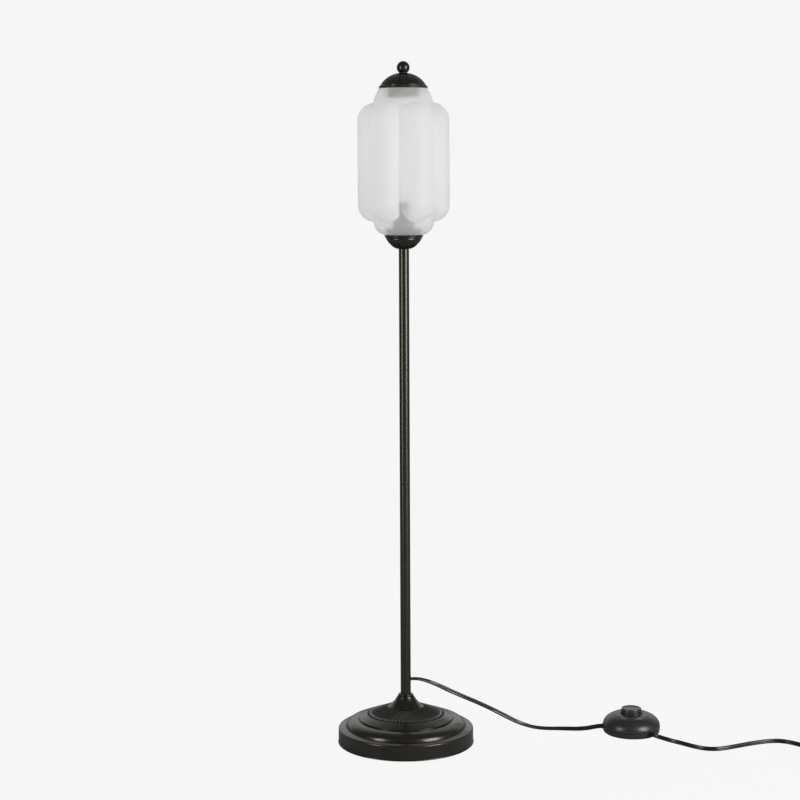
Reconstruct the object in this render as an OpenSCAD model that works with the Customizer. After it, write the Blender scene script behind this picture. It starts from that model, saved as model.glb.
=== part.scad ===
// Lantern floor lamp: a lobed frosted-glass shade on a two-piece tube, with a
// round weighted base, a foot switch on its cord and a moulded two-pin plug.
// Millimetres, +Z up, origin on the floor under the middle of the base.

/* [Base] */
// Diameter of the base wall
base_d = 211; // [170:1:260]
// Height of the base wall
base_wall_h = 24; // [18:0.5:28]
// Radius on the top edge of the wall
base_edge_r = 2.2; // [1.8:0.1:4]
// How far the rolled lip at the floor stands out
base_lip = 0.7; // [0.3:0.1:1.5]
// Width of the flat ledge inside the wall
ledge_w = 12; // [8:0.5:16]
// Width of the rounded moulding above the ledge
ovolo_w = 19.5; // [12:0.5:24]
// Height of the rounded moulding
ovolo_h = 10.8; // [8:0.2:14]
// Height of the step round the fluted disc
step_h = 2.4; // [1.6:0.1:4]
// Diameter of the flat crown that carries the tube
crown_d = 60; // [58:1:76]
// Height of the crown above the floor
crown_z = 55.5; // [50:0.5:68]
// Thickness of the sheet steel
shell_t = 1.5; // [1:0.1:2.2]
// Height of the cast weight's disc
weight_h = 18; // [12:0.5:20]
// Diameter of the weight's hub
hub_d = 36; // [30:1:48]
// Thickness of the felt pad
pad_t = 2.5; // [1.5:0.1:3.5]

/* [Neck] */
// Diameter of the flared neck at its foot
neck_foot_d = 56.6; // [50:0.2:57]
// Diameter of the neck at its top
neck_top_d = 25.4; // [23:0.2:28]
// Height of the neck
neck_h = 16.7; // [13:0.1:22]
// Radius of the flare
flare_r = 36.5; // [28:0.5:60]
// Thickness of the neck
neck_t = 1.2; // [0.8:0.1:1.6]
// Height of the bead on the neck
bead_h = 3.2; // [2.4:0.1:5]

/* [Pole] */
// Outside diameter of the tube
tube_d = 16; // [14:0.5:20]
// Wall of the tube
tube_t = 1; // [0.8:0.1:1.2]
// Length of the lower tube
lower_tube_l = 348.5; // [250:0.5:500]
// Length of the upper tube
upper_tube_l = 368.5; // [250:0.5:500]
// Length of the plugs fixed inside the tube ends
insert_l = 20; // [14:1:30]
// Height of the cord's exit above the floor
exit_z = 98; // [94:1:130]

/* [Bottom cup] */
// Diameter of the cup's rim
cup_d = 60.4; // [50:0.2:64]
// Depth of the cup
cup_h = 21.5; // [17:0.5:26]
// Thickness of the cup
cup_t = 1.2; // [0.8:0.1:1.6]

/* [Lamp holder] */
// Diameter of the holder's threaded shell
holder_d = 28; // [26:0.2:31]
// Length of the holder's shell
holder_l = 43; // [41:0.5:50]
// Wall of the holder's shell
holder_t = 1.6; // [1.2:0.1:2]
// Inside diameter of the bulb thread
socket_d = 14.4; // [14.3:0.1:15.4]
// Diameter of the lower shade ring
lower_ring_d = 40; // [36:0.5:46]
// Diameter of the upper shade ring
upper_ring_d = 49; // [40:0.5:50]
// Thickness of the shade rings
ring_t = 2; // [1.5:0.1:3]
// Height of the upper shade ring's outer rim, mm
ring_rim_h = 9; // [4:0.5:12]
// Height of the upper ring's collar
ring_collar_h = 9; // [6:0.5:12]

/* [Glass] */
// Radius of the glass's core
core_r = 47.4; // [44:0.2:52]
// Radius of the arc at the glass's foot
foot_arc_r = 21.5; // [18:0.5:22]
// Radius of the dome's arc
dome_arc_r = 44.2; // [40:0.2:47]
// Radius of one lobe
lobe_r = 26.7; // [22:0.1:30]
// Distance of a lobe's axis from the lamp's axis
lobe_axis_r = 45.5; // [40:0.5:50]
// Height of a lobe's lower centre above the glass's foot
lobe_z = 47.7; // [40:0.5:60]
// Length of a lobe between its two centres
lobe_l = 133; // [90:1:180]
// Height of the dome's centre above a lobe's upper centre
dome_rise = 21; // [16:0.5:26]
// Thickness of the glass
glass_t = 3; // [2.4:0.1:3.4]
// Radius of the opening at the top of the glass
mouth_r = 22; // [21:0.5:25]
// Angle of the first lobe, counted from the right
lobe_turn = -65.3; // [-90:0.1:-31]

/* [Top cap] */
// Diameter of the cap
cap_d = 77.2; // [70:0.2:84]
// Height of the cap
cap_h = 24.5; // [20:0.5:30]
// Radius of the cap's flat crown
cap_flat_r = 2.4; // [2.2:0.1:6]
// Thickness of the cap
cap_t = 1; // [0.8:0.1:1.4]
// Thickness of the collar's plate
collar_t = 1; // [0.8:0.1:1.4]
// Depth of the collar below the cap's rim
collar_drop = 16; // [10:0.5:24]
// Diameter of the ball
ball_d = 20.4; // [16:0.2:26]
// Diameter of the stud
stud_d = 4; // [3:0.5:5]

/* [Bulb] */
// Diameter of the candle bulb
bulb_d = 37; // [35:0.5:40]
// Height of the bulb's opal cover
opal_h = 52; // [40:1:60]
// Height of the bulb's plastic collar
bulb_collar_h = 26; // [18:1:32]

/* [Foot switch] */
// Widest diameter of the switch
switch_d = 90.4; // [84:0.2:110]
// Height of the seam between base and cover
seam_z = 9; // [9:0.1:12]
// Height of the cover's flat top
cover_z = 31; // [29:0.5:40]
// Height of the collar round the button
bezel_h = 3.2; // [2:0.1:5]
// Diameter of the button
button_d = 31.4; // [28:0.2:36]
// How far the button stands out of its collar
button_rise = 4.9; // [4.5:0.1:7]
// Travel of the button
travel = 3.5; // [2:0.1:3.5]
// Wall of the switch's shells
switch_t = 2; // [1.6:0.1:2.6]

/* [Plug] */
// Width of the plug
plug_w = 35.3; // [33:0.1:37]
// Thickness of the plug
plug_h = 13.7; // [12.6:0.1:15]
// Distance between the pins
pin_gap = 18.6; // [17.5:0.1:19]
// Diameter of a pin
pin_d = 4; // [4:0.1:4.8]
// Length of a pin outside the plug
pin_l = 19; // [18:0.5:20]

/* [Cord] */
// Width of the flat twin cord
cord_d = 6.3; // [6.3:0.1:6.3]
// Step between the coil's turns, across and up
coil_step = 6.9; // [6.9:0.1:7.4]
// Radius of the coil where its spiral turns back
coil_inner_r = 26; // [24:0.5:30]
// Turns in the whole coil
coil_turns = 6.25; // [6.25]

/* [Fits] */
// Radial clearance of a fixed plug or thread
fit = 0.05; // [0.03:0.01:0.08]
// Gap between a piece and its seat
seat = 0.3; // [0.2:0.05:0.35]

/* [Hidden] */
$fn = 64;
arc_steps = 10;

// Base
base_r = base_d / 2;
ledge_r = base_r - ledge_w;
ledge_z = base_wall_h + 2;
disc_r = ledge_r - ovolo_w;
disc_z = ledge_z + ovolo_h + step_h;
crown_r = crown_d / 2;
shell_foot_z = 0.6;
lip_h = 1.6;
weight_r = base_r - shell_t - 1.5;
pad_r = weight_r - 2;
pad_hole_r = 20;

// M10 bolt from below, through the weight into the tube's foot
bolt_r = 4.95;
thread_r = bolt_r + fit;
bolt_hole_r = 5.4;
head_h = 6.4;
head_r = 16 / 2 / cos(30);
washer_t = 2;
washer_r = 13;
recess_r = 15;
recess_top = pad_t + 10;
washer_z = recess_top - washer_t;

// Pole
tube_r = tube_d / 2;
bore_r = tube_r - tube_t;
insert_r = bore_r - fit;
seam_joint_z = crown_z + lower_tube_l;
tube_top_z = seam_joint_z + upper_tube_l;
tube_bevel = 0.4;
wire_bore_r = 3.8;
bush_r = 4.2;
bush_flange_r = 4.9;
neck_bore_r = tube_r + 0.15;
neck_z = crown_z + neck_h;

// Cup and holder
cup_z = tube_top_z;
cup_r = cup_d / 2;
cup_foot_r = tube_r + 0.3;
cup_arc_z = (cup_r ^ 2 + cup_h ^ 2 - cup_foot_r ^ 2) / (2 * cup_h);
cup_arc_r = norm([cup_foot_r, cup_arc_z]);
cup_nut_h = 3;
holder_z = cup_z + cup_t + cup_nut_h;
holder_top = holder_z + holder_l;
holder_r = holder_d / 2;
holder_floor = 2.5;
holder_slope = 5;
core_slope = 3.2;
core_z = holder_z + holder_floor + fit;
core_body_r = holder_r - holder_t - 0.1;
socket_r = socket_d / 2;
sleeve_t = 0.4;
well_r = socket_r + sleeve_t + 0.1;
well_z = core_z + 13.8;
lip_t = 2.2;
core_top = holder_top - lip_t - seat;
wire_room_r = 6;
wire_room_h = 7.5;

// Glass
gasket_t = 0.5;
glass_z = cup_z + cup_h + seat;
gasket_z = glass_z - gasket_t;
glass_hole_r = holder_r + 0.6;
lobes = 6;
lobe_steps = 10;
lobe_z0 = glass_z + lobe_z;
lobe_z1 = lobe_z0 + lobe_l;
dome_z = lobe_z1 + dome_rise;
dome_c = core_r - dome_arc_r;
foot_c = core_r - foot_arc_r;
foot_z = glass_z + foot_arc_r;
mouth_z = dome_z + sqrt(dome_arc_r ^ 2 - (mouth_r - dome_c) ^ 2);

// Cap
cap_r = cap_d / 2;
cap_seat_r = cap_r - cap_t;
cap_z = dome_z + sqrt(dome_arc_r ^ 2 - (cap_seat_r - dome_c) ^ 2) + seat;
cap_sink = ((cap_r - cap_flat_r) ^ 2 - cap_h ^ 2) / (2 * cap_h);
cap_arc_r = cap_h + cap_sink;
cap_arc_z = cap_z - cap_sink;
cap_top = cap_z + cap_h;
collar_r = mouth_r - 1;
collar_inner_r = collar_r - 0.8;
collar_roof = cap_arc_z - seat - 1
    + sqrt((cap_arc_r - cap_t) ^ 2 - (collar_r - cap_flat_r) ^ 2);
collar_plate_z = collar_roof - collar_t;
stud_r = stud_d / 2;
stud_hole_r = stud_r + 0.2;
nut_h = 0.8 * stud_d;
nut_r = 0.875 * stud_d / cos(30);
ball_r = ball_d / 2;
ball_sink = 1.8;
ball_foot_z = cap_top + 0.2;
ball_z = ball_foot_z + ball_r - ball_sink;
ball_foot_r = 6.8;
ball_foot_h = 1.4;
stud_top = ball_z - 1.5;

// Bulb
bulb_r = bulb_d / 2;
bulb_thread_r = socket_r - 0.35;
bulb_z = holder_top - 0.2;
bulb_tip_z = well_z + 1.2 + seat;
bulb_neck_r = 7.3;
bulb_mouth_r = 13;
opal_z = bulb_z + bulb_collar_h;
opal_t = 1;

// Foot switch
switch_pos = [359, 43, 0];
switch_r = switch_d / 2;
lead_angles = [175, -57];
bezel_r = button_d / 2 + 1.9;
button_r = button_d / 2;
button_bore_r = button_r + 0.3;
button_top = cover_z + bezel_h + button_rise;
flange_t = 2.2;
flange_top = cover_z - switch_t - seat;
flange_r = button_bore_r + 2;
stem_r = 3;
module_floor = 2.6;
module_top = 13.5;
module_size = [22, 16];
stem_hole_r = stem_r + 0.3;
stem_tip_z = module_floor + 1 + travel + 0.6;
button_roof = button_top - 3.4;
spring_r = 6.5;
wire_r = 0.4;
spring_turns = 5;
boss_r = 3.4;
boss_ring_r = 31;
boss_angles = [35, 125, 245];
screw_r = 1.5;
screw_head_r = 2.8;
screw_head_h = 1.1;
screw_l = 13;
switch_foot = 0.4;
switch_floor = switch_foot + switch_t;
boss_top = seam_z + 2.8 + (cover_z - seam_z - 3)
    * sqrt(1 - ((boss_ring_r + boss_r - bezel_r) / (switch_r - bezel_r)) ^ 2);
clamp_r = switch_r - 15;
pad_ring_in = 24.5;
pad_ring_out = 27.5;

// Plug
plug_pos = [721.6, 36, 0];
tail_l = 22;
plug_l = 36;
plug_axis_z = plug_h / 2;
pin_root = 6;
pin_sleeve_l = 10;
pin_core_r = pin_d / 2 - 0.7;
pin_sleeve_r = pin_d / 2 - 0.25;

// Cord routes: points on the middle of the cord, chosen by hand
cord_r = cord_d / 2;
floor_z = 3.2;
inner_cord_route = [
    [0, 0, 778], [0, 0, 640], [0, 0, 500], [0, 0, 380], [0, 0, 260], [0, 0, 160],
    [0, 0, 122], [0, 0, 113], [0.3, 0, 107.5], [1.2, 0, 103.4], [2.6, 0, 100.4],
    [4.2, 0, 98.7], [5.6, 0, 98.05], [8, 0, 98]
];
switch_lead_route = [
    [8.2, 0, 98], [14, 0.4, 98], [21, 1.6, 97.2], [34, 4.6, 93.2], [48, 8.6, 86.8],
    [62, 13, 79.2], [76, 17.4, 71.6], [90, 22.2, 64.2], [104, 27.2, 57], [118, 32.2, 49.6],
    [132, 37, 41.8], [146, 41.6, 33.6], [160, 45.6, 25.4], [174, 48.8, 17.6],
    [188, 51.2, 11.2], [202, 52.8, 6.6], [216, 53.8, 4.2], [230, 54.2, 3.3],
    [244, 54, 3.2], [258, 53, 3.2], [272, 51.4, 3.4], [286, 49.8, 4.6], [297, 48.6, 6.6],
    [306, 47.7, 8.4], [313.7, 46.97, 8.98]
];
plug_lead_route = [
    [383.62, 5.09, 9], [387, -0.1, 8.9], [392, -5.6, 8.2], [400, -9.4, 6.6],
    [409, -12.4, 4.6], [418, -17.4, 3.4], [427, -25, 3.2], [437, -35.6, 3.2], [448, -46.4, 3.2],
    [459, -54, 3.2], [470, -57, 3.2], [482, -56.2, 3.2], [495, -51.2, 3.2],
    [508, -44.6, 3.2], [522, -37, 3.2], [537, -29.4, 3.2], [553, -22.4, 3.2],
    [568, -18, 3.2], [582, -17.6, 3.2], [594, -22.6, 3.2], [604, -31, 3.2],
    [614, -42, 3.2], [625, -52.6, 3.2], [638, -60.6, 3.5], [652, -64, 4], [665.78, -62.4, 4.2]
];
plug_tail_route = [
    [720.4, -7.77, 11.1], [721.1, -2, 11], [721.5, 4, 10.4], [721.7, 11, 9.2],
    [721.6, 18, 8], [721.6, 25, 7.2], [721.6, 31, 6.9], [721.6, 36, 6.85]
];

// Coil: spirals in, climbs a layer at the innermost half turn, spirals out
coil_pos = [672, -14];
coil_z = 4.2;
coil_start_angle = -90;
coil_rings = 24;
function ramp(x) = let (c = max(0, min(1, x))) c * c * (3 - 2 * c);
function coil_angle(t) = coil_start_angle + 360 * (t + coil_turns / 2);
function coil_r(t) = coil_inner_r + coil_step * (sqrt(t ^ 2 + 0.01) - 0.02);
function coil_point(t) =
    let (a = coil_angle(t), r = coil_r(t))
    [coil_pos.x + r * cos(a), coil_pos.y + r * sin(a),
     coil_z + coil_step * ramp(2 * t + 0.5)];
coil_n = coil_turns * coil_rings;
coil_turn_points = [
    for (i = [0:coil_n]) coil_point(i / coil_rings - coil_turns / 2)
];
function end_point(a, b) = a + cord_d * (a - b) / norm(a - b);
coil_route = concat(
    [end_point(coil_turn_points[0], coil_turn_points[1])],
    coil_turn_points,
    [end_point(coil_turn_points[coil_n], coil_turn_points[coil_n - 1])]
);
coil_gap = min([
    for (i = [0:coil_n - 16]) for (j = [i + 16:coil_n])
        norm(coil_turn_points[i] - coil_turn_points[j])
]) - cord_d;
echo(coil_least_gap = coil_gap, coil_start = coil_route[0],
     coil_end = coil_route[coil_n + 2]);

// Points on an arc, and on an upright ellipse
function arc(c, r, a0, a1, n = arc_steps) = oval(c, r, r, a0, a1, n);
function oval(c, rx, rz, a0, a1, n = arc_steps) = [
    for (i = [0:n]) let (a = a0 + (a1 - a0) * i / n)
        c + [rx * cos(a), rz * sin(a)]
];
function reverse(p) = [for (i = [len(p) - 1:-1:0]) p[i]];

// Centre of the circle of radius r through a and b, on the left of a to b
function centre(a, b, r) =
    let (d = b - a, h = sqrt(r ^ 2 - norm(d) ^ 2 / 4))
    (a + b) / 2 + h * [-d.y, d.x] / norm(d);

module turned(points) {
    rotate_extrude() polygon(points);
}

module ring(r_in, r_out, z, h) {
    turned([[r_in, z], [r_out, z], [r_out, z + h], [r_in, z + h]]);
}

// A cord is one closed tube swept along its route
module swept(route, r, sides) {
    n = len(route);
    rings = [
        for (i = [0:n - 1])
            let (d = route[min(i + 1, n - 1)] - route[max(i - 1, 0)],
                 t = d / norm(d),
                 flat = abs(t.z) > 0.8 ? [0, 1, 0] : [0, 0, 1],
                 side = cross(t, flat) / norm(cross(t, flat)),
                 up = cross(side, t))
            for (k = [0:sides - 1])
                let (a = 360 * (k + 0.5) / sides)
                route[i] + r * (cos(a) * side + sin(a) * up)
    ];
    walls = [
        for (i = [0:n - 2]) for (k = [0:sides - 1])
            let (a = i * sides + k, b = i * sides + (k + 1) % sides)
            each [[a, a + sides, b], [b, a + sides, b + sides]]
    ];
    first = [for (k = [1:sides - 2]) [0, k, k + 1]];
    last = [for (k = [1:sides - 2]) let (s = (n - 1) * sides) [s, s + k + 1, s + k]];
    polyhedron(rings, concat(walls, first, last));
}

// Outline of the base's top, from the wall's foot in to the crown, set in by t
function base_top(t) = concat(
    [[base_r - t, lip_h + shell_foot_z]],
    arc([base_r - base_edge_r, base_wall_h - base_edge_r], base_edge_r - t, 0, 90, 4),
    [[ledge_r - t, ledge_z - t]],
    oval([disc_r, ledge_z], ovolo_w - t, ovolo_h - t, 0, 90, 8),
    [[disc_r - t, disc_z - t], [crown_r - t * 0.2, crown_z - t], [bolt_hole_r, crown_z - t]]
);

module base_shell() {
    color("#2c2a26")
    turned(concat(
        [[base_r - shell_t, shell_foot_z], [base_r + base_lip, shell_foot_z],
         [base_r + base_lip, shell_foot_z + lip_h - 0.4]],
        base_top(0),
        reverse(base_top(shell_t))
    ));
}

module base_weight() {
    under = crown_z - shell_t;
    color("#4a4a4a")
    turned([
        [recess_r, pad_t], [weight_r, pad_t], [weight_r, pad_t + weight_h],
        [disc_r - 12, pad_t + weight_h], [hub_d / 2, pad_t + weight_h + 12],
        [hub_d / 2, under], [bolt_hole_r, under], [bolt_hole_r, recess_top],
        [recess_r, recess_top]
    ]);
}

module base_pad() {
    color("#1c1c1c")
    ring(pad_hole_r, pad_r, 0, pad_t);
}

module base_bolt() {
    color("#9a9a98") {
        translate([0, 0, washer_z - head_h]) cylinder(r = head_r, h = head_h, $fn = 6);
        translate([0, 0, washer_z]) cylinder(r = bolt_r, h = crown_z + insert_l - 2 - washer_z);
    }
}

module base_washer() {
    color("#9a9a98")
    ring(bolt_hole_r, washer_r, washer_z, washer_t);
}

module neck_cone() {
    foot = [neck_foot_d / 2, crown_z + neck_t];
    top = [neck_top_d / 2, neck_z];
    c = centre(top, foot, flare_r);
    a0 = atan2(foot.y - c.y, foot.x - c.x);
    a1 = atan2(top.y - c.y, top.x - c.x);
    outer = arc(c, flare_r, a0, a1);
    inner = arc(c, flare_r + neck_t, a0, a1 + 2);
    color("#262420")
    turned(concat(
        [[neck_foot_d / 2, crown_z]], outer,
        [[neck_bore_r, neck_z], [neck_bore_r, neck_z - neck_t]],
        reverse([for (p = inner) if (p.y > crown_z + 0.1 && p.y < neck_z - neck_t) p]),
        [[neck_foot_d / 2 - 2, crown_z]]
    ));
}

module neck_ring() {
    bead = bead_h / 2;
    color("#34322d")
    turned(concat(
        [[neck_bore_r, neck_z]],
        arc([neck_top_d / 2 - 1 - bead, neck_z + bead], bead, -90, 90),
        [[neck_bore_r, neck_z + bead_h]]
    ));
}

module foot_insert() {
    color("#8c8c88")
    ring(thread_r, insert_r, crown_z, insert_l);
}

module lower_tube() {
    color("#302e2a")
    difference() {
        turned([
            [bore_r, crown_z], [tube_r, crown_z], [tube_r, seam_joint_z - tube_bevel],
            [tube_r - tube_bevel, seam_joint_z], [bore_r, seam_joint_z]
        ]);
        translate([0, 0, exit_z]) rotate([0, 90, 0]) cylinder(r = bush_r + fit, h = tube_d);
    }
}

module upper_tube() {
    color("#302e2a")
    turned([
        [bore_r, seam_joint_z], [tube_r - tube_bevel, seam_joint_z],
        [tube_r, seam_joint_z + tube_bevel], [tube_r, tube_top_z], [bore_r, tube_top_z]
    ]);
}

module joint_socket() {
    color("#8c8c88")
    ring(thread_r, insert_r, seam_joint_z - insert_l, insert_l);
}

module joint_stud() {
    color("#8c8c88")
    turned([
        [wire_bore_r, seam_joint_z - insert_l + 4], [bolt_r, seam_joint_z - insert_l + 4],
        [bolt_r, seam_joint_z], [insert_r, seam_joint_z],
        [insert_r, seam_joint_z + insert_l], [wire_bore_r, seam_joint_z + insert_l]
    ]);
}

module cord_bush() {
    color("#141414")
    translate([0, 0, exit_z]) rotate([0, 90, 0])
    difference() {
        union() {
            cylinder(r = bush_r, h = tube_r + 0.2);
            intersection() {
                cylinder(r = bush_flange_r, h = tube_r);
                rotate([0, 90, 0]) translate([0, 0, -tube_r])
                    cylinder(r = bore_r - fit, h = tube_d);
            }
        }
        translate([0, 0, -1]) cylinder(r = cord_r + 0.2, h = tube_d);
        translate([-tube_r, -tube_r, -1]) cube([tube_d, tube_d, bore_r - 0.4]);
    }
}

module head_insert() {
    color("#8c8c88")
    ring(thread_r, insert_r, tube_top_z - insert_l, insert_l);
}

module head_nipple() {
    color("#a09a80")
    ring(wire_bore_r, bolt_r, tube_top_z - insert_l + 4, core_z + 1 - tube_top_z + insert_l - 4);
}

module cup() {
    inner_r = cup_arc_r - cup_t;
    a_foot = -acos(cup_foot_r / cup_arc_r);
    a_rim = asin((cup_h - cup_arc_z) / cup_arc_r);
    a_floor = -asin((cup_arc_z - cup_t) / inner_r);
    a_mouth = asin((cup_h - cup_arc_z) / inner_r);
    c = [0, cup_z + cup_arc_z];
    color("#2a2824")
    turned(concat(
        [[thread_r, cup_z]], arc(c, cup_arc_r, a_foot, a_rim),
        arc(c, inner_r, a_mouth, a_floor), [[thread_r, cup_z + cup_t]]
    ));
}

module cup_nut() {
    color("#9a9a98")
    translate([0, 0, cup_z + cup_t])
    difference() {
        cylinder(r = 7 / cos(30), h = cup_nut_h, $fn = 6);
        translate([0, 0, -1]) cylinder(r = thread_r, h = cup_nut_h + 2);
    }
}

module holder_shell() {
    bore = holder_r - holder_t;
    mouth = socket_r + 1.8;
    color("#e8e4da")
    turned([
        [thread_r, holder_z], [holder_r - holder_slope, holder_z], [holder_r, holder_z + holder_slope],
        [holder_r, holder_top], [mouth, holder_top], [mouth, holder_top - lip_t],
        [bore, holder_top - lip_t], [bore, core_z + core_slope], [bore - core_slope, core_z],
        [thread_r, core_z]
    ]);
}

module holder_core() {
    color("#f2f0ea")
    turned([
        [wire_room_r, core_z], [core_body_r - core_slope, core_z], [core_body_r, core_z + core_slope],
        [core_body_r, core_top],
        [well_r, core_top], [well_r, well_z], [1.5, well_z],
        [1.5, core_z + wire_room_h], [wire_room_r, core_z + wire_room_h]
    ]);
}

module thread_sleeve() {
    color("#b08d4a")
    ring(socket_r, socket_r + sleeve_t, well_z, core_top - well_z);
}

module contact_tongue() {
    color("#b08d4a")
    turned([
        [0, core_z + wire_room_h], [1.4, core_z + wire_room_h], [1.4, well_z], [3, well_z],
        [3, well_z + 1.2], [0, well_z + 1.2]
    ]);
}

module lower_shade_ring() {
    color("#e8e4da")
    ring(holder_r + fit, lower_ring_d / 2, gasket_z - ring_t, ring_t);
}

module glass_gasket() {
    color("#5a5a58")
    ring(holder_r + 0.4, lower_ring_d / 2, gasket_z, gasket_t);
}

// The glass's wall: its radius and its levels, set in by t, from the core's
// outline and from a lobe, at angle d from the lobe's middle
function core_wall(z, t) =
    z < foot_z ? foot_c + sqrt(max(0, (foot_arc_r - t) ^ 2 - (z - foot_z) ^ 2))
    : z > dome_z ? dome_c + sqrt(max(0, (dome_arc_r - t) ^ 2 - (z - dome_z) ^ 2))
    : core_r - t;
function lobe_wall(d, z, t) =
    let (axis = lobe_axis_r - t / 2,
         rise = max(lobe_z0 + t / 2 - z, 0, z - lobe_z1 + t / 2),
         q = (lobe_r - t / 2) ^ 2 - rise ^ 2 - (axis * sin(d)) ^ 2)
    q > 0 ? axis * cos(d) + sqrt(q) : 0;
function wall_levels(t) =
    let (r = lobe_r - t / 2, dome = dome_arc_r - t)
    concat(
        [for (b = [90, 60, 30]) foot_z - (foot_arc_r - t) * sin(b)],
        [for (b = [0:18:90]) lobe_z0 + t / 2 - r * cos(b)],
        [for (b = [90:-18:0]) lobe_z1 - t / 2 + r * cos(b)],
        [for (i = [0:4]) let (a = 12, b = acos((mouth_r - dome_c) / dome))
            dome_z + dome * sin(a + (b - a) * i / 4)]
    );
function wall_ring(z, t, r = 0) = [
    for (i = [0:lobes * lobe_steps - 1])
        let (a = i * 360 / lobes / lobe_steps, d = (i % lobe_steps) * 360 / lobes / lobe_steps,
             near = min(d, 360 / lobes - d),
             w = r > 0 ? r : max(core_wall(z, t), lobe_wall(near, z, t)))
        [w * cos(lobe_turn + a), w * sin(lobe_turn + a), z]
];

module glass_shade() {
    n = lobes * lobe_steps;
    rings = concat(
        [wall_ring(glass_z, 0, glass_hole_r)],
        [for (z = wall_levels(0)) wall_ring(z, 0)],
        [for (z = reverse(wall_levels(glass_t))) wall_ring(z, glass_t)],
        [wall_ring(glass_z + glass_t, 0, glass_hole_r)]
    );
    faces = [
        for (p = [0:len(rings) - 1]) for (k = [0:n - 1])
            let (q = (p + 1) % len(rings), m = (k + 1) % n,
                 a = p * n + k, b = p * n + m, c = q * n + k, d = q * n + m)
            each [[a, c, b], [b, c, d]]
    ];
    color("#e6e6e2", 0.6)
    polyhedron([for (r = rings) each r], faces);
}

module upper_shade_ring() {
    z = glass_z + glass_t;
    bore = holder_r + fit;
    color("#e8e4da")
    turned([
        [bore, z], [upper_ring_d / 2, z], [upper_ring_d / 2, z + ring_rim_h],
        [upper_ring_d / 2 - ring_t, z + ring_rim_h], [upper_ring_d / 2 - ring_t, z + ring_t],
        [bore + 2.4, z + ring_t], [bore + 2.4, z + ring_collar_h], [bore, z + ring_collar_h]
    ]);
}

module bulb_cap() {
    color("#c8c8c4")
    turned([
        [0, bulb_tip_z], [2.4, bulb_tip_z], [2.6, bulb_tip_z + 1.5],
        [bulb_thread_r - 0.7, bulb_tip_z + 4], [bulb_thread_r, bulb_tip_z + 5.5],
        [bulb_thread_r, bulb_z], [0, bulb_z]
    ]);
}

module bulb_collar() {
    color("#dcdcd8")
    turned([
        [0, bulb_z], [bulb_neck_r, bulb_z], [bulb_neck_r, bulb_z + 1.5],
        [bulb_neck_r + 1.2, bulb_z + 4], [bulb_mouth_r, opal_z], [0, opal_z]
    ]);
}

// Outline of the opal cover, set in by t: a candle shape
function opal_line(t) = [
    [bulb_mouth_r - t, opal_z],
    [bulb_r - 2.2 - t, opal_z + opal_h * 0.14],
    [bulb_r - 0.4 - t, opal_z + opal_h * 0.28],
    [bulb_r - t, opal_z + opal_h * 0.38],
    [bulb_r - 0.9 - t, opal_z + opal_h * 0.52],
    [bulb_r - 4 - t, opal_z + opal_h * 0.7],
    [bulb_r - 9 - t, opal_z + opal_h * 0.87 - t / 2],
    [bulb_r - 14 - t, opal_z + opal_h * 0.97 - t],
    [0, opal_z + opal_h - t]
];

module bulb_globe() {
    color("#f4f2ec")
    turned(concat(opal_line(0), reverse(opal_line(opal_t))));
}

module top_cap() {
    c = [cap_flat_r, cap_arc_z];
    inner_r = cap_arc_r - cap_t;
    color("#242220")
    turned(concat(
        [[cap_r - cap_t, cap_z]],
        arc(c, cap_arc_r, asin(cap_sink / cap_arc_r), 90),
        [[stud_hole_r, cap_top], [stud_hole_r, cap_top - cap_t]],
        arc(c, inner_r, 90, asin(cap_sink / inner_r) + 0.5)
    ));
}

module cap_collar() {
    foot_z = cap_z - collar_drop;
    color("#3a3a38")
    turned([
        [stud_hole_r, collar_plate_z], [collar_inner_r, collar_plate_z],
        [collar_inner_r, foot_z], [collar_r, foot_z], [collar_r, collar_roof],
        [stud_hole_r, collar_roof]
    ]);
}

module cap_spacer() {
    color("#9a9a98")
    ring(stud_hole_r, stud_hole_r + 1.8, collar_roof, cap_top - cap_t - collar_roof - seat / 2);
}

module cap_stud() {
    color("#9a9a98")
    translate([0, 0, collar_plate_z - nut_h - 1.5])
        cylinder(r = stud_r, h = stud_top - collar_plate_z + nut_h + 1.5);
}

module stud_nut() {
    color("#9a9a98")
    translate([0, 0, collar_plate_z - nut_h])
    difference() {
        cylinder(r = nut_r, h = nut_h, $fn = 6);
        translate([0, 0, -1]) cylinder(r = stud_r + fit, h = nut_h + 2);
    }
}

module finial_ball() {
    bore = stud_r + fit;
    foot_a = asin((ball_foot_z + ball_foot_h - ball_z) / ball_r);
    color("#161616")
    turned(concat(
        [[bore, ball_foot_z], [ball_foot_r, ball_foot_z],
         [ball_foot_r, ball_foot_z + ball_foot_h]],
        arc([0, ball_z], ball_r, foot_a, 90, 14),
        [[0, stud_top + 0.6], [bore, stud_top + 0.6]]
    ));
}

// Straight hole for a cord, from the switch's middle out through its wall
module lead_holes(r) {
    for (a = lead_angles)
        translate([0, 0, seam_z]) rotate([0, 90, a]) translate([0, 0, clamp_r])
            cylinder(r = r, h = switch_r);
}

// Outline of the switch's base and cover, set in by t
function base_line(t) = concat(
    [[0, switch_foot + t], [switch_r - 3.6 - t, switch_foot + t]],
    [[switch_r - 1 - t, 2.6 + t * 0.5], [switch_r - t, seam_z - 1.5], [switch_r - t, seam_z]]
);
function cover_line(t) = concat(
    [[switch_r - t, seam_z]],
    oval([bezel_r, seam_z + 3], switch_r - bezel_r - t, cover_z - seam_z - 3 - t, 0, 90)
);

module at_bosses() {
    for (a = boss_angles)
        rotate([0, 0, a]) translate([boss_ring_r, 0, 0]) children();
}

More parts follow.
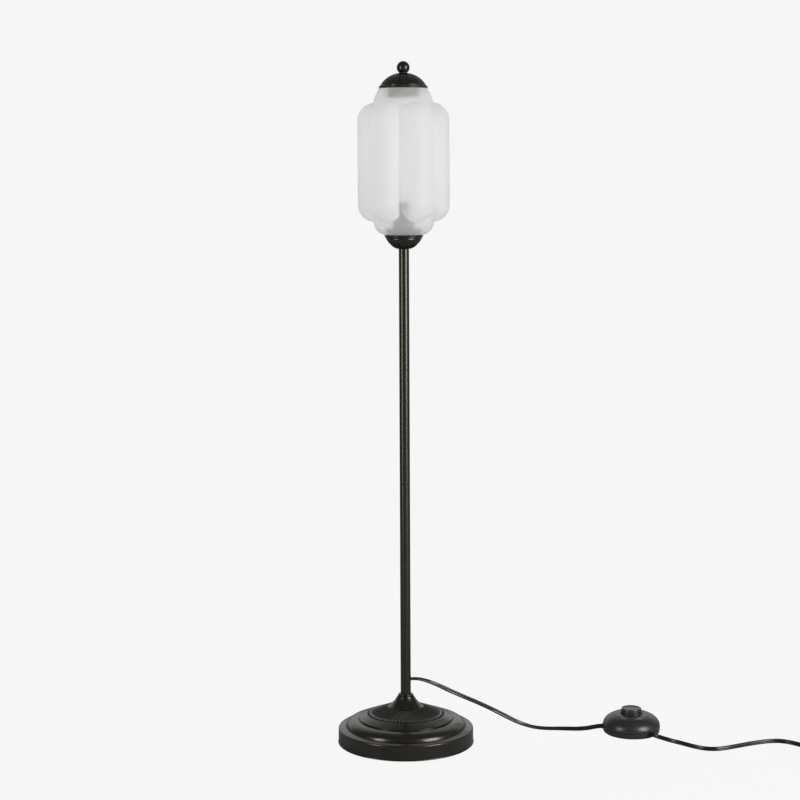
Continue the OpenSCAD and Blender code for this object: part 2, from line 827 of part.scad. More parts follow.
module switch_base() {
    color("#333531")
    translate(switch_pos)
    difference() {
        turned(concat(base_line(0), reverse(base_line(switch_t))));
        lead_holes(cord_r + 0.2);
        at_bosses() {
            cylinder(r = screw_r + 0.2, h = switch_floor + 1);
            cylinder(r = screw_head_r + 0.1, h = switch_foot + screw_head_h + 0.1);
        }
        ring(pad_ring_in - 0.1, pad_ring_out + 0.1, 0, 1.2);
    }
}

module switch_cover() {
    color("#333531")
    translate(switch_pos)
    difference() {
        union() {
            turned(concat(
                cover_line(0),
                [[bezel_r, cover_z + bezel_h], [button_bore_r, cover_z + bezel_h],
                 [button_bore_r, cover_z - switch_t]],
                reverse(cover_line(switch_t))
            ));
            at_bosses() translate([0, 0, switch_floor])
                cylinder(r = boss_r, h = boss_top - switch_floor);
        }
        lead_holes(cord_r + 0.2);
        at_bosses() cylinder(r = screw_r + fit, h = switch_floor + screw_l + 1);
    }
}

module switch_button() {
    color("#2e302c")
    translate(switch_pos)
    turned([
        [0, stem_tip_z], [stem_r, stem_tip_z], [stem_r, button_roof],
        [button_r - 2, button_roof], [button_r - 2, flange_top - flange_t],
        [flange_r, flange_top - flange_t], [flange_r, flange_top], [button_r, flange_top],
        [button_r, button_top - 1], [button_r - 1, button_top],
        [button_r - 2.6, button_top - 0.1], [button_r - 6, button_top - 1], [0, button_top - 1.4]
    ]);
}

module switch_spring() {
    low = module_top + wire_r + 0.05;
    high = button_roof - wire_r - 0.05;
    n = spring_turns * 12;
    color("#b8b8b4")
    translate(switch_pos)
    swept([
        for (i = [0:n]) let (a = 360 * i / 12)
            [spring_r * cos(a), spring_r * sin(a), low + (high - low) * i / n]
    ], wire_r, 6);
}

module switch_module() {
    color("#d8d4c8")
    translate(switch_pos)
    difference() {
        translate([-module_size.x / 2, -module_size.y / 2, switch_floor])
            cube([module_size.x, module_size.y, module_top - switch_floor]);
        translate([0, 0, module_floor + 1]) cylinder(r = stem_hole_r, h = module_top);
    }
}

// One set of fittings by each lead: terminal, clamp bar and their screws
module at_leads() {
    translate(switch_pos)
    for (a = lead_angles) rotate([0, 0, a]) children();
}

module switch_terminals() {
    color("#b08d4a")
    at_leads() for (y = [-4, 4])
        translate([15, y - 2.5, switch_floor]) difference() {
            cube([7, 5, 7]);
            translate([3.5, 2.5, 3]) cylinder(r = 1.3, h = 5);
        }
}

module terminal_screws() {
    color("#9a9a98")
    at_leads() for (y = [-4, 4]) translate([18.5, y, 0]) {
        translate([0, 0, switch_floor + 3.4]) cylinder(r = 1.25, h = 3.6);
        translate([0, 0, switch_floor + 7]) cylinder(r = 2, h = 1.4);
    }
}

module cord_clamps() {
    color("#8c8c88")
    at_leads() translate([clamp_r + 1, 0, seam_z + cord_r]) difference() {
        translate([-2.5, -8, 0.05]) cube([5, 16, 1.5]);
        for (y = [-6, 6]) translate([0, y, -1]) cylinder(r = 1.3, h = 4);
    }
}

module clamp_screws() {
    top = seam_z + cord_r + 1.55;
    color("#9a9a98")
    at_leads() for (y = [-6, 6]) translate([clamp_r + 1, y, 0]) {
        translate([0, 0, switch_floor]) cylinder(r = 1.25, h = top - switch_floor);
        translate([0, 0, top]) cylinder(r = 2, h = 1.2);
    }
}

module switch_screws() {
    color("#9a9a98")
    translate(switch_pos)
    at_bosses() {
        translate([0, 0, switch_foot]) cylinder(r = screw_head_r, h = screw_head_h);
        translate([0, 0, switch_foot]) cylinder(r = screw_r, h = screw_l);
    }
}

module switch_pad() {
    color("#161616")
    translate(switch_pos)
    ring(pad_ring_in, pad_ring_out, 0, 1.15);
}

module switch_tails() {
    color("#141414")
    at_leads() translate([24, 0, seam_z]) rotate([0, 90, 0])
        cylinder(r = cord_r, h = switch_r - 24);
}

module inner_cord() {
    color("#141414")
    swept(inner_cord_route, 3, 8);
}

module switch_lead() {
    color("#141414")
    swept(switch_lead_route, cord_r, 8);
}

module plug_lead() {
    color("#141414")
    swept(plug_lead_route, cord_r, 8);
}

module cord_coil() {
    color("#141414")
    swept(coil_route, cord_r, 6);
}

module plug_tail() {
    color("#141414")
    swept(plug_tail_route, cord_r, 8);
}

// A strap round the turns, where tie_turn counts turns from the coil's middle
module coil_tie() {
    tie_turn = coil_turns / 2 - 0.583;
    strap_t = 0.8;
    strap_w = 9;
    room = 0.25;
    bend_room = 0.7;
    inside_r = coil_r(tie_turn - 3) - cord_r - bend_room;
    width = coil_r(tie_turn) + cord_r + bend_room - inside_r;
    height = coil_step + cord_d + 2 * room;
    color("#202020")
    translate([coil_pos.x, coil_pos.y, coil_z - cord_r - room - strap_t])
    rotate([0, 0, coil_angle(tie_turn)]) translate([inside_r - strap_t, strap_w / 2, 0])
    rotate([90, 0, 0])
    difference() {
        cube([width + 2 * strap_t, height + 2 * strap_t, strap_w]);
        translate([strap_t, strap_t, -1]) cube([width, height, strap_w + 2]);
    }
}

// Plug, seen from above with its cord at the origin and its pins towards +Y
module plug_body() {
    half = plug_w / 2;
    face = tail_l + plug_l;
    outline = [
        [-5.4, tail_l], [-9, tail_l + 2], [-11, tail_l + 10], [-12.5, tail_l + 20],
        [-half, face - 9], [-half, face], [half, face], [half, face - 9],
        [12.5, tail_l + 20], [11, tail_l + 10], [9, tail_l + 2], [5.4, tail_l]
    ];
    section = [
        [-half, -2], [-half, 2], [-half + 6, plug_h / 2], [half - 6, plug_h / 2],
        [half, 2], [half, -2], [half - 6, -plug_h / 2], [-half + 6, -plug_h / 2]
    ];
    color("#161616")
    translate(plug_pos) difference() {
        union() {
            intersection() {
                linear_extrude(plug_h) polygon(outline);
                translate([0, face, plug_axis_z]) rotate([90, 0, 0])
                    linear_extrude(plug_l) polygon(section);
            }
            translate([0, 0, plug_axis_z]) rotate([-90, 0, 0])
                cylinder(r1 = cord_r + 0.7, r2 = 5.4, h = tail_l);
        }
        for (x = [-1, 1])
            translate([x * pin_gap / 2, face - pin_root, plug_axis_z]) rotate([-90, 0, 0])
                cylinder(r = pin_d / 2, h = pin_root + 1);
    }
}

module at_pins() {
    translate(plug_pos + [0, tail_l + plug_l, plug_axis_z])
    for (x = [-1, 1])
        translate([x * pin_gap / 2, 0, 0]) rotate([-90, 0, 0]) children();
}

module plug_pins() {
    color("#c8c8c4")
    at_pins() turned([
        [0, -pin_root], [pin_core_r, -pin_root], [pin_core_r, pin_sleeve_l],
        [pin_d / 2, pin_sleeve_l], [pin_d / 2, pin_l - 1], [pin_d / 2 - 1, pin_l], [0, pin_l]
    ]);
}

module plug_sleeves() {
    color("#1c1c1c")
    at_pins() ring(pin_core_r, pin_sleeve_r, -pin_root, pin_root + pin_sleeve_l);
}

base_shell();
base_weight();
base_pad();
base_bolt();
base_washer();
neck_cone();
neck_ring();
foot_insert();
lower_tube();
upper_tube();
joint_socket();
joint_stud();
cord_bush();
head_insert();
head_nipple();
cup();
cup_nut();
holder_shell();
holder_core();
thread_sleeve();
contact_tongue();
lower_shade_ring();
glass_gasket();
glass_shade();
upper_shade_ring();
bulb_cap();
bulb_collar();
bulb_globe();
top_cap();
cap_collar();
cap_spacer();
cap_stud();
stud_nut();
finial_ball();
switch_base();
switch_cover();
switch_button();
switch_spring();
switch_module();
switch_terminals();
terminal_screws();
cord_clamps();
clamp_screws();
switch_screws();
switch_pad();
switch_tails();
inner_cord();
switch_lead();
plug_lead();
cord_coil();
plug_tail();
coil_tie();
plug_body();
plug_pins();
plug_sleeves();
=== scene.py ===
import bpy
import bmesh
from math import acos, atan2, ceil, cos, degrees, exp, hypot, log, pi, radians, sin, sqrt
from mathutils import Matrix, Vector


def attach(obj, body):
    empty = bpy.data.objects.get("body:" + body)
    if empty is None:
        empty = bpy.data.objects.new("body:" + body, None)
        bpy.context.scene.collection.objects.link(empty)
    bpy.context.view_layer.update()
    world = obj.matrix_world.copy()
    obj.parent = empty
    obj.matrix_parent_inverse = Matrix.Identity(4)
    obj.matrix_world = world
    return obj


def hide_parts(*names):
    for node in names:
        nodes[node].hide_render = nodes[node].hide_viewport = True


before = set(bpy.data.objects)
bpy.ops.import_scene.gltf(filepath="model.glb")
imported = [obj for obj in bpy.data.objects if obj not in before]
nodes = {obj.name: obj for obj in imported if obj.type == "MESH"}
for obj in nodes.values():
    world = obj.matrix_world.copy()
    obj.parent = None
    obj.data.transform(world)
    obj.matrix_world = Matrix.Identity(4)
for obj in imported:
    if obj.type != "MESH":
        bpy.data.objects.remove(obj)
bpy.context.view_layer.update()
MM = 0.001

# Camera. The lamp is photographed level, from nearly three metres away and at
# the height of its glass; the frame is dropped so that the base comes in.
camera_away, camera_height, camera_left = 2.915, 0.873, 0.0057
camera_lean, camera_lens, camera_drop = 0.24, 83.6, 0.269
bpy.ops.object.camera_add(location=(-camera_left, -camera_away, camera_height),
                          rotation=(radians(90), radians(camera_lean), 0))
camera = bpy.context.object
camera.data.sensor_width = 36
camera.data.lens = camera_lens
camera.data.shift_y = -camera_drop
camera.data.clip_end = 30
bpy.context.scene.camera = camera

# Cords. Flat twin mains cord, two cores side by side in smooth black PVC with a
# groove between them. It leaves the tube above the base, passes the foot switch
# and runs on to its plug; what the photograph doesn't show is wound up and tied.
cord_width, core_radius, cord_step = 6.8 * MM, 1.75 * MM, 5 * MM
core_arc, core_parts = 150, 8
switch_lead_points = [
    (8.2, 0, 98), (14, 0.4, 98), (21, 1.6, 97.2), (34, 4.6, 93.2), (48, 8.6, 86.8),
    (62, 13, 79.2), (76, 17.4, 71.6), (90, 22.2, 64.2), (104, 27.2, 57), (118, 32.2, 49.6),
    (132, 37, 41.8), (146, 41.6, 33.6), (160, 45.6, 25.4), (174, 48.8, 17.6),
    (188, 51.2, 11.2), (202, 52.8, 6.6), (216, 53.8, 4.2), (230, 54.2, 3.3),
    (244, 54, 3.2), (258, 53, 3.2), (272, 51.4, 3.4), (286, 49.8, 4.6), (297, 48.6, 6.6),
    (306, 47.7, 8.4), (313.7, 46.97, 8.98),
]
plug_lead_points = [
    (383.62, 5.09, 9), (387, -0.1, 8.9), (392, -5.6, 8.2), (400, -9.4, 6.6),
    (409, -12.4, 4.6), (418, -17.4, 3.4), (427, -25, 3.2), (437, -35.6, 3.2),
    (448, -46.4, 3.2), (459, -54, 3.2), (470, -57, 3.2), (482, -56.2, 3.2),
    (495, -51.2, 3.2), (508, -44.6, 3.2), (522, -37, 3.2), (537, -29.4, 3.2),
    (553, -22.4, 3.2), (568, -18, 3.2), (582, -17.6, 3.2), (594, -22.6, 3.2),
    (604, -31, 3.2), (614, -42, 3.2), (625, -52.6, 3.2), (638, -60.6, 3.5), (652, -64, 4),
]
plug_tail_points = [
    (721.1, -2, 11), (721.5, 4, 10.4), (721.7, 11, 9.2), (721.6, 18, 8), (721.6, 25, 7.2),
    (721.6, 31, 6.9), (721.6, 36, 6.85),
]
coil_centre, coil_floor, coil_pitch, coil_inner, coil_turns = (672, -14), 4.2, 6.9, 26, 6.25
coil_parts = 30
# How far the flat cord is twisted, in degrees, at even steps along it
switch_cord_tilts = [0, 40, 95, 105, 105, 80, 25, 25, 60, 74]
plug_cord_tilts = [56, 55, 54, 55, 60, 84] + [84] * 28 + [60, 0]


# The coil spirals in, climbs a layer in its innermost half turn and spirals out
def coil_point(turn):
    angle = radians(-90 + 360 * (turn + coil_turns / 2))
    out = coil_inner + coil_pitch * (sqrt(turn * turn + 0.01) - 0.02)
    climb = max(0, min(1, 2 * turn + 0.5))
    return (coil_centre[0] + out * cos(angle), coil_centre[1] + out * sin(angle),
            coil_floor + coil_pitch * climb * climb * (3 - 2 * climb))


def smooth_path(points, step):
    points = [Vector(p) * MM for p in points]
    path = []
    for i in range(len(points) - 1):
        before, a = points[max(i - 1, 0)], points[i]
        b, after = points[i + 1], points[min(i + 2, len(points) - 1)]
        parts = max(1, ceil((b - a).length / step))
        for k in range(parts):
            t = k / parts
            path.append(0.5 * (2 * a + (b - before) * t
                               + (2 * before - 5 * a + 4 * b - after) * t * t
                               + (3 * a - before - 3 * b + after) * t * t * t))
    return path + [points[-1]]


def join_rings(mesh, rings):
    for a, b in zip(rings, rings[1:]):
        for k in range(len(a)):
            n = (k + 1) % len(a)
            mesh.faces.new((a[k], a[n], b[n], b[k]))


def mesh_object(name, mesh):
    bmesh.ops.recalc_face_normals(mesh, faces=mesh.faces)
    data = bpy.data.meshes.new(name)
    mesh.to_mesh(data)
    mesh.free()
    piece = bpy.data.objects.new(name, data)
    bpy.context.collection.objects.link(piece)
    return piece


def twin_cord(name, path, tilts):
    outline = []
    for side in (1, -1):
        for k in range(core_parts + 1):
            turn = radians(-core_arc + 2 * core_arc * k / core_parts)
            outline.append((side * (cord_width / 2 - core_radius + core_radius * cos(turn)),
                            side * core_radius * sin(turn)))
    mesh = bmesh.new()
    rings = []
    for i, point in enumerate(path):
        along = (path[min(i + 1, len(path) - 1)] - path[max(i - 1, 0)]).normalized()
        across = along.cross(Vector((0, 0, 1))).normalized()
        where = i / (len(path) - 1) * (len(tilts) - 1)
        low = min(int(where), len(tilts) - 2)
        tilt = tilts[low] + (tilts[low + 1] - tilts[low]) * (where - low)
        across = Matrix.Rotation(radians(tilt), 3, along) @ across
        up = across.cross(along)
        rings.append([mesh.verts.new(point + across * x + up * y) for x, y in outline])
    join_rings(mesh, rings)
    mesh.faces.new(rings[0][::-1])
    mesh.faces.new(rings[-1])
    for face in mesh.faces:
        face.smooth = len(face.verts) == 4
    return mesh_object(name, mesh)


def colour(code):
    parts = [int(code[i:i + 2], 16) / 255 for i in (1, 3, 5)]
    return [c / 12.92 if c <= 0.04045 else ((c + 0.055) / 1.055) ** 2.4 for c in parts] + [1]


def add(tree, kind, inputs={}, **settings):
    node = tree.nodes.new("ShaderNode" + kind)
    for name, value in settings.items():
        setattr(node, name, value)
    for name, value in inputs.items():
        if isinstance(value, bpy.types.NodeSocket):
            tree.links.new(value, node.inputs[name])
        else:
            node.inputs[name].default_value = value
    return node


def blank_material(name):
    material = bpy.data.materials.new(name)
    material.use_nodes = True
    material.node_tree.nodes.clear()
    return material, material.node_tree


def coat(piece, material):
    piece.data.materials.clear()
    piece.data.materials.append(material)


def noise(tree, scale, detail, distortion=0.0):
    place = add(tree, "TexCoord").outputs["Object"]
    return add(tree, "TexNoise", {"Vector": place, "Scale": scale, "Detail": detail,
                                  "Distortion": distortion}).outputs["Fac"]


def two_tones(tree, share, dark, light, low=0, high=1):
    ramp = add(tree, "ValToRGB", {"Fac": share})
    for stop, code, position in zip(ramp.color_ramp.elements, (dark, light), (low, high)):
        stop.color, stop.position = colour(code), position
    return ramp.outputs["Color"]


def relief(tree, height, strength, distance):
    return add(tree, "Bump", {"Height": height, "Strength": strength,
                              "Distance": distance}).outputs["Normal"]


def between(tree, share, low, high):
    return add(tree, "MapRange", {"Value": share, "To Min": low, "To Max": high}).outputs["Result"]


def mix(tree, share, first, second):
    return add(tree, "MixShader", {"Fac": share, 1: first, 2: second}).outputs["Shader"]


def surface(tree, inputs):
    shader = add(tree, "BsdfPrincipled", inputs)
    add(tree, "OutputMaterial", {"Surface": shader.outputs["BSDF"]})


# Soft PVC, extruded smooth: black with a low sheen and a faint unevenness
cord_pvc, tree = blank_material("smooth black PVC")
waves = noise(tree, 160.0, 3.0)
surface(tree, {"Base Color": colour("#101010"), "Roughness": between(tree, waves, 0.22, 0.34),
               "IOR": 1.5, "Specular IOR Level": 0.5, "Normal": relief(tree, waves, 0.05, 0.0003)})

switch_lead_path = smooth_path(switch_lead_points, cord_step)
switch_cord = twin_cord("switch_cord", switch_lead_path, switch_cord_tilts)
coil_points = [coil_point(i / coil_parts - coil_turns / 2)
               for i in range(int(coil_turns * coil_parts) + 1)]
plug_lead_path = smooth_path(plug_lead_points + coil_points + plug_tail_points, cord_step)
plug_cord = twin_cord("plug_cord", plug_lead_path, plug_cord_tilts)
for cord, cad_nodes in ((switch_cord, ["switch_lead"]),
                        (plug_cord, ["plug_lead", "cord_coil", "plug_tail"])):
    coat(cord, cord_pvc)
    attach(cord, "root")
    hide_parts(*cad_nodes)

# Base. Sheet steel pressed over a cast weight: an upright wall, a flat ledge, a
# rounded moulding, a step, and a cone with fine flutes that end in a ring of
# dents. It is lacquered satin brown-black and stands on a felt pad.
wall_r, wall_top, lip_r = 105.5, 24, 106.2
ledge_r, ledge_z = 93.5, 26
moulding_w, moulding_h = 19.5, 10.8
disc_r, disc_z = 74, 39.2
crown_r, crown_z = 30, 55.5
sheet = 1.5
flutes, flute_parts, flute_depth, flute_in, flute_out = 58, 8, 1.1, 29, 54
flute_shares = ((1, 0.15), (2, 0.5), (3, 0.85), (4, 1))
dent_r, dent_len, dent_depth = 58.6, 3.4, 2.2
dent_shares = ((2, 0.4), (3, 0.9), (4, 1))
smooth_angle, line_slack, skin_depth = 32, 0.2, 0.9


def arc(x, z, rx, rz, start, end, parts):
    angles = [radians(start + (end - start) * i / parts) for i in range(parts + 1)]
    return [(x + rx * cos(a), z + rz * sin(a)) for a in angles]


def turned(name, outline, steps=96):
    bpy.ops.object.select_all(action="DESELECT")
    bpy.ops.mesh.primitive_plane_add(location=(0, 0, 0))
    piece = bpy.context.object
    piece.name = name
    bpy.ops.object.mode_set(mode="EDIT")
    bpy.ops.mesh.select_all(action="SELECT")
    bpy.ops.mesh.merge(type="CENTER")
    bpy.ops.transform.translate(value=(outline[0][0] * MM, 0, outline[0][1] * MM))
    for a, b in zip(outline, outline[1:]):
        bpy.ops.mesh.extrude_vertices_move(TRANSFORM_OT_translate={
            "value": ((b[0] - a[0]) * MM, 0, (b[1] - a[1]) * MM)})
    bpy.ops.mesh.select_all(action="SELECT")
    bpy.ops.mesh.spin(steps=steps, angle=2 * pi, center=(0, 0, 0), axis=(0, 0, 1))
    bpy.ops.mesh.select_all(action="SELECT")
    bpy.ops.mesh.remove_doubles(threshold=1e-6)
    bpy.ops.mesh.normals_make_consistent(inside=False)
    bpy.ops.object.mode_set(mode="OBJECT")
    bpy.ops.object.shade_smooth_by_angle(angle=radians(smooth_angle))
    return piece


def press(piece, depth, chosen):
    bpy.ops.object.select_all(action="DESELECT")
    piece.select_set(True)
    bpy.context.view_layer.objects.active = piece
    bpy.ops.object.mode_set(mode="EDIT")
    bpy.ops.mesh.select_mode(type="VERT")
    bpy.ops.mesh.select_all(action="DESELECT")
    mesh = bmesh.from_edit_mesh(piece.data)
    for v in mesh.verts:
        turn = degrees(atan2(v.co.y, v.co.x)) % 360
        if chosen(hypot(v.co.x, v.co.y) / MM, turn, v.co.z / MM):
            v.select_set(True)
    bmesh.update_edit_mesh(piece.data)
    bpy.ops.transform.shrink_fatten(value=-depth * MM)
    bpy.ops.object.mode_set(mode="OBJECT")


def cone_z(r):
    return disc_z + (crown_z - disc_z) * (disc_r - r) / (disc_r - crown_r)


cone_radii = [disc_r - 4, 61.4, 60.6, 59.6, 58.6, 57.6, 56.6, 55.8, 55, 53.5, 51, 48, 44, 40, 37,
              34, 32]
base_outline = (
    [(lip_r - 0.6, 0.6), (lip_r, 1.1), (lip_r, 1.7), (lip_r - 0.3, 2.2), (wall_r, 2.6),
     (wall_r, 8), (wall_r, 15), (wall_r, wall_top - 2.4)]
    + arc(wall_r - 2.2, wall_top - 2.2, 2.2, 2.2, 0, 82, 6)
    + [(98, wall_top + 1.05), (ledge_r + 0.9, ledge_z - 0.25), (ledge_r + 0.35, ledge_z - 0.6)]
    + arc(disc_r, ledge_z, moulding_w, moulding_h, 3, 88, 18)
    + [(disc_r + 0.3, ledge_z + moulding_h - 0.3), (disc_r, ledge_z + moulding_h + 0.1),
       (disc_r, disc_z - 0.7), (disc_r - 0.4, disc_z - 0.1)]
    + [(r, cone_z(r)) for r in cone_radii]
    + [(crown_r, crown_z), (crown_r - 3, crown_z), (6, crown_z), (6, crown_z - sheet),
       (crown_r - 1, crown_z - sheet), (disc_r - 1, disc_z - sheet - 0.6),
       (disc_r - 2, ledge_z + 6), (ledge_r - 6, ledge_z + 0.5),
       (wall_r - 4, wall_top - sheet - 0.5), (wall_r - sheet, wall_top - 4),
       (wall_r - sheet, 0.8), (lip_r - 0.6, 0.6)])
base_cover = turned("base_cover", base_outline, flutes * flute_parts)
column = 360 / flutes / flute_parts


def on_line(turn, part, step, parts):
    return abs(min(turn / step % parts, -turn / step % parts) - part) < line_slack


def on_cone(r, z):
    return z > cone_z(r) - skin_depth


for part, share in flute_shares:
    press(base_cover, flute_depth * share, lambda r, turn, z: flute_in < r < flute_out
          and on_cone(r, z) and on_line(turn, part, column, flute_parts))
for part, share in dent_shares:
    press(base_cover, dent_depth * share, lambda r, turn, z: abs(r - dent_r) < dent_len / 2
          and on_cone(r, z) and on_line(turn, part, column, flute_parts))

# Stoved lacquer over steel: near black with a brown cast, satin, with the faint
# orange peel that a sprayed coat keeps
lacquer, tree = blank_material("satin brown-black lacquer")
peel, drift = noise(tree, 420.0, 2.0), noise(tree, 22.0, 4.0)
surface(tree, {"Base Color": two_tones(tree, drift, "#12110e", "#1a1813", 0.35, 0.65),
               "Roughness": between(tree, drift, 0.22, 0.28), "IOR": 1.55,
               "Specular Tint": colour("#fbf6ea"), "Normal": relief(tree, peel, 0.04, 0.0003)})


def finished(piece, material, slot, body, *cad_nodes):
    coat(piece, material)
    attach(piece, body)
    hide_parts(*cad_nodes)


finished(base_cover, lacquer, "satin_metal", "root", "base_shell")

# Neck. A spun trumpet that covers the joint of tube and base, closed at its top
# by a turned bead that slides on the tube.
neck_x, neck_z, neck_r, neck_wall = 45.8, 87.5, 36.5, 1.1
neck_foot, neck_bore, neck_top = 28.3, 8.3, 72.2
neck_curve = arc(neck_x, neck_z, neck_r, neck_r, 241.2, 204.8, 14)
neck_inside = arc(neck_x, neck_z, neck_r + neck_wall, neck_r + neck_wall, 206, 240, 8)
neck_cover = turned("neck_cover",
                    [(neck_foot, crown_z + 0.02), (neck_foot, crown_z + 0.5)] + neck_curve
                    + [(12.2, neck_top), (neck_bore, neck_top), (neck_bore, neck_top - 1.3)]
                    + [(max(x, neck_bore), z) for x, z in neck_inside if z > crown_z]
                    + [(neck_foot, crown_z + 0.02)])
finished(neck_cover, lacquer, "satin_metal", "root", "neck_cone")
neck_bead = turned("neck_bead", [(8.15, 72.25), (10.4, 72.25)]
                   + arc(10.1, 73.8, 1.6, 1.5, -80, 80, 8)
                   + [(10.2, 75.35), (8.6, 75.4), (8.15, 75.1), (8.15, 72.25)])
finished(neck_bead, lacquer, "satin_metal", "root", "neck_ring")

# Pole. Two lengths of 16 mm steel tube screwed end to end, so a fine line shows
# at the joint; the lower one has the hole where the cord comes out.
tube_r, tube_bore, tube_edge = 8, 7, 0.4
seam_z, tube_top = 404, 772.5
for name, cad_node, low, high in (("pole_low", "lower_tube", crown_z, seam_z),
                                  ("pole_high", "upper_tube", seam_z, tube_top)):
    length = high - low - 2 * tube_edge
    tube = turned(name, [(tube_r - tube_edge, low + 0.03), (tube_r, low + tube_edge)]
                  + [(tube_r, low + tube_edge + length * i / 8) for i in range(1, 9)]
                  + [(tube_r - tube_edge, high - 0.03), (tube_bore, high - 0.03),
                     (tube_bore, low + 0.03), (tube_r - tube_edge, low + 0.03)], 64)
    finished(tube, lacquer, "satin_metal", "root", cad_node)

# Bottom cup. Pressed sheet metal under the glass, threaded on the holder's nipple:
# a rolled rim with a second bead below it, a row of small beads, and leaves that
# run down to the tube.
cup_foot, cup_z, cup_bore = 8.3, 772.5, 5.3
cup_arc_r, cup_arc_z = 31.47, 802.85
cup_leaves, leaf_parts = 14, 12
cup_leaf_depth, cup_bead_depth = 1.2, 1
cup_leaf_shares = ((1, 0.45), (2, 0.8), (3, 1), (4, 1), (5, 0.85), (6, 0.6))
bead_shares = ((1, 0.2), (2, 0.75), (3, 1))


def on_cup(angle, out=0):
    return ((cup_arc_r + out) * cos(radians(angle)),
            cup_arc_z + (cup_arc_r + out) * sin(radians(angle)))


cup_outline = (
    [(cup_foot, cup_z + 0.1)]
    + [on_cup(a) for a in (-73, -70, -66, -61, -56, -51, -46, -42, -38.5)]
    + [on_cup(a) for a in (-36.5, -35, -33.5, -32, -30.5, -29)]
    + [on_cup(-27.6, -0.5), on_cup(-26.6, 0.1), on_cup(-25.2, 0.45), on_cup(-23.8, 0.4),
       on_cup(-22.6, -0.1), on_cup(-21.8, -0.5), on_cup(-21, 0), on_cup(-19.6, 0.5),
       on_cup(-18.2, 0.6), on_cup(-17, 0.4), on_cup(-16.2, -0.1), on_cup(-16.2, -1)]
    + [on_cup(a, -1.5) for a in (-20, -30, -45, -60, -72)]
    + [(cup_foot - 0.6, cup_z + 1.4), (cup_bore, cup_z + 1.2), (cup_bore, cup_z),
       (cup_foot - 0.4, cup_z), (cup_foot, cup_z + 0.1)])
cup_cover = turned("cup_cover", cup_outline, cup_leaves * leaf_parts)


def leafwork(piece, leaves, shares, depth, on_leaf, bead_depth, on_bead):
    step = 360 / leaves / leaf_parts
    for part, share in shares:
        press(piece, depth * share, lambda r, turn, z:
              on_leaf(r, z) and on_line(turn, part, step, leaf_parts))
    for part, share in bead_shares:
        press(piece, bead_depth * share, lambda r, turn, z:
              on_bead(r, z) and on_line(turn, part, step, leaf_parts // 2))


def cup_angle(r, z):
    return degrees(atan2(z - cup_arc_z, r)) if hypot(r, z - cup_arc_z) > cup_arc_r - 1.2 else 0


leafwork(cup_cover, cup_leaves, cup_leaf_shares, cup_leaf_depth,
         lambda r, z: -71 < cup_angle(r, z) < -38,
         cup_bead_depth, lambda r, z: -35.5 < cup_angle(r, z) < -30)
finished(cup_cover, lacquer, "satin_metal", "root", "cup")

# Glass. Blown into a six-lobed mould, open at the top and holed at the foot for
# the lamp holder; etched all over, so the bulb and fittings show only as smudges.
glass_z, foot_arc_r, core_r, hole_r = 794.3, 21.5, 47.4, 14.6
lobe_z0, lobe_z1, lobe_r, lobe_out = 842, 975, 26.7, 45.5
dome_z, dome_r, mouth_r, glass_wall = 996, 44.2, 22, 3
lobes, lobe_turn, lobe_parts = 6, -65.3, 30
lobe_fold, lobe_reach = 3.5, 50


def glass_reach(z, angle, t):
    if z < glass_z + foot_arc_r:
        fall = glass_z + foot_arc_r - z
        core = core_r - foot_arc_r + sqrt(max(0, (foot_arc_r - t) ** 2 - fall ** 2))
    elif z > dome_z:
        core = core_r - dome_r + sqrt(max(0, (dome_r - t) ** 2 - (z - dome_z) ** 2))
    else:
        core = core_r - t
    reaches = [core]
    for i in range(lobes):
        swing = (angle - i * 360 / lobes + 180) % 360 - 180
        if abs(swing) < lobe_reach:
            rise = max(lobe_z0 - z, 0, z - lobe_z1)
            room = (lobe_r - t) ** 2 - rise ** 2 - (lobe_out * sin(radians(swing))) ** 2
            if room > 0:
                reaches.append(lobe_out * cos(radians(swing)) + sqrt(room))
    top = max(reaches)
    return top + lobe_fold * log(sum(exp((reach - top) / lobe_fold) for reach in reaches))


def glass_levels(t):
    foot, dome, lobe = foot_arc_r - t, dome_r - t, lobe_r - t
    last = degrees(acos((mouth_r - core_r + dome_r) / dome))
    return ([glass_z + foot_arc_r - foot * sin(radians(a)) for a in range(90, 0, -10)]
            + [lobe_z0 - lobe * cos(radians(a)) for a in range(0, 91, 6)]
            + [lobe_z0 + (lobe_z1 - lobe_z0) * i / 8 for i in range(1, 8)]
            + [lobe_z1 + lobe * cos(radians(a)) for a in range(90, -1, -6)]
            + [dome_z + dome * sin(radians(8 + (last - 8) * i / 12)) for i in range(13)])


def glass_ring(mesh, z, t, r=None):
    count = lobes * lobe_parts
    ring = []
    for i in range(count):
        angle = i * 360 / count
        out = r or glass_reach(z, angle, t)
        turn = radians(lobe_turn + angle)
        ring.append(mesh.verts.new((out * cos(turn) * MM, out * sin(turn) * MM, z * MM)))
    return ring


mesh = bmesh.new()
outside, inside = sorted(glass_levels(0)), sorted(glass_levels(glass_wall))
outside_rings = [glass_ring(mesh, z, 0) for z in outside]
inside_rings = [glass_ring(mesh, z, glass_wall) for z in inside]
foot_hole = glass_ring(mesh, glass_z, 0, hole_r)
foot_hole_in = glass_ring(mesh, glass_z + glass_wall, 0, hole_r)
rim = glass_ring(mesh, outside[-1] + 0.7, 0, mouth_r - 1)
loop = [foot_hole] + outside_rings + [rim] + inside_rings[::-1] + [foot_hole_in, foot_hole]
join_rings(mesh, loop)
for face in mesh.faces:
    face.smooth = True
glass = mesh_object("glass_lantern", mesh)

